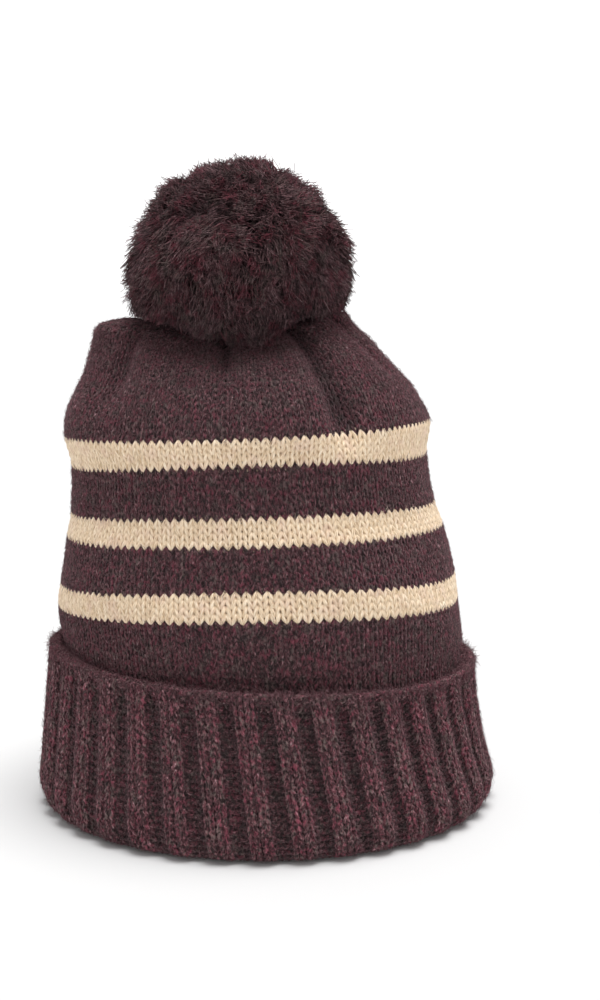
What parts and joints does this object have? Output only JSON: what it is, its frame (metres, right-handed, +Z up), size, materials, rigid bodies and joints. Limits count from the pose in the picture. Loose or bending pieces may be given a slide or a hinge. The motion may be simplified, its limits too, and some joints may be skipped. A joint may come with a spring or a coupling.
{
  "type": "pom pom beanie",
  "caption": "Knitted beanie with a turned-up ribbed cuff, light stripes on a dark heather body, a gathered crown and a yarn pom pom tied on top",
  "frame": {"origin": "centre of the cuff's fold, on the surface that the hat stands on", "axes": "+Z up through the crown, -Y towards the front, +X to the right as seen from the front"},
  "size_m": [0.2, 0.1754, 0.2745],
  "materials": {
    "plum_rib": "brushed wool yarn in a two-by-two rib, plum heather with grey and wine flecks",
    "plum_knit": "brushed wool yarn in stocking stitch, plum heather with grey and wine flecks",
    "cream_knit": "smooth wool yarn in stocking stitch, oatmeal cream",
    "sewing_yarn": "plain plied yarn",
    "tie_yarn": "plain plied yarn, pulled tight",
    "pom_pile": "cut and brushed yarn pile, dark plum heather"
  },
  "bodies": {
    "cuff": {"cuff_outer_rib": "plum_rib", "cast_on_edge": "plum_rib"},
    "hat": {"inner_rib": "plum_rib", "band_base": "plum_knit", "stripe_bottom": "cream_knit", "band_lower": "plum_knit", "stripe_middle": "cream_knit", "band_upper": "plum_knit", "stripe_top": "cream_knit", "crown": "plum_knit", "back_seam_yarn": "sewing_yarn", "crown_gather_yarn": "sewing_yarn"},
    "tie_loop": {"pom_tie_loop": "tie_yarn"},
    "tie": {"pom_tie_neck": "tie_yarn", "pom_inner_knot": "tie_yarn"},
    "pom_pom": {"pom_binding_yarn": "tie_yarn", "pom_pile_lower": "pom_pile", "pom_pile_upper": "pom_pile"}
  },
  "joints": [
    {"name": "cuff_turn_down", "type": "slide", "parent": "cuff", "child": "hat", "axis": [0, 0, 1], "range_m": [0, 0.055]},
    {"name": "pom_sway", "type": "hinge", "parent": "hat", "child": "tie_loop", "pos_m": [-0.011, 0, 0.2045], "axis": [0, 1, 0], "range_deg": [-15, 15], "stiffness_Nm_per_rad": 0.05},
    {"name": "pom_nod", "type": "hinge", "parent": "tie_loop", "child": "tie", "pos_m": [-0.011, 0, 0.2045], "axis": [1, 0, 0], "range_deg": [-15, 15], "stiffness_Nm_per_rad": 0.05},
    {"name": "pom_twist", "type": "hinge", "parent": "tie", "child": "pom_pom", "pos_m": [-0.011, 0, 0.2045], "axis": [0, 0, 1], "range_deg": [-30, 30], "stiffness_Nm_per_rad": 0.01}
  ]
}
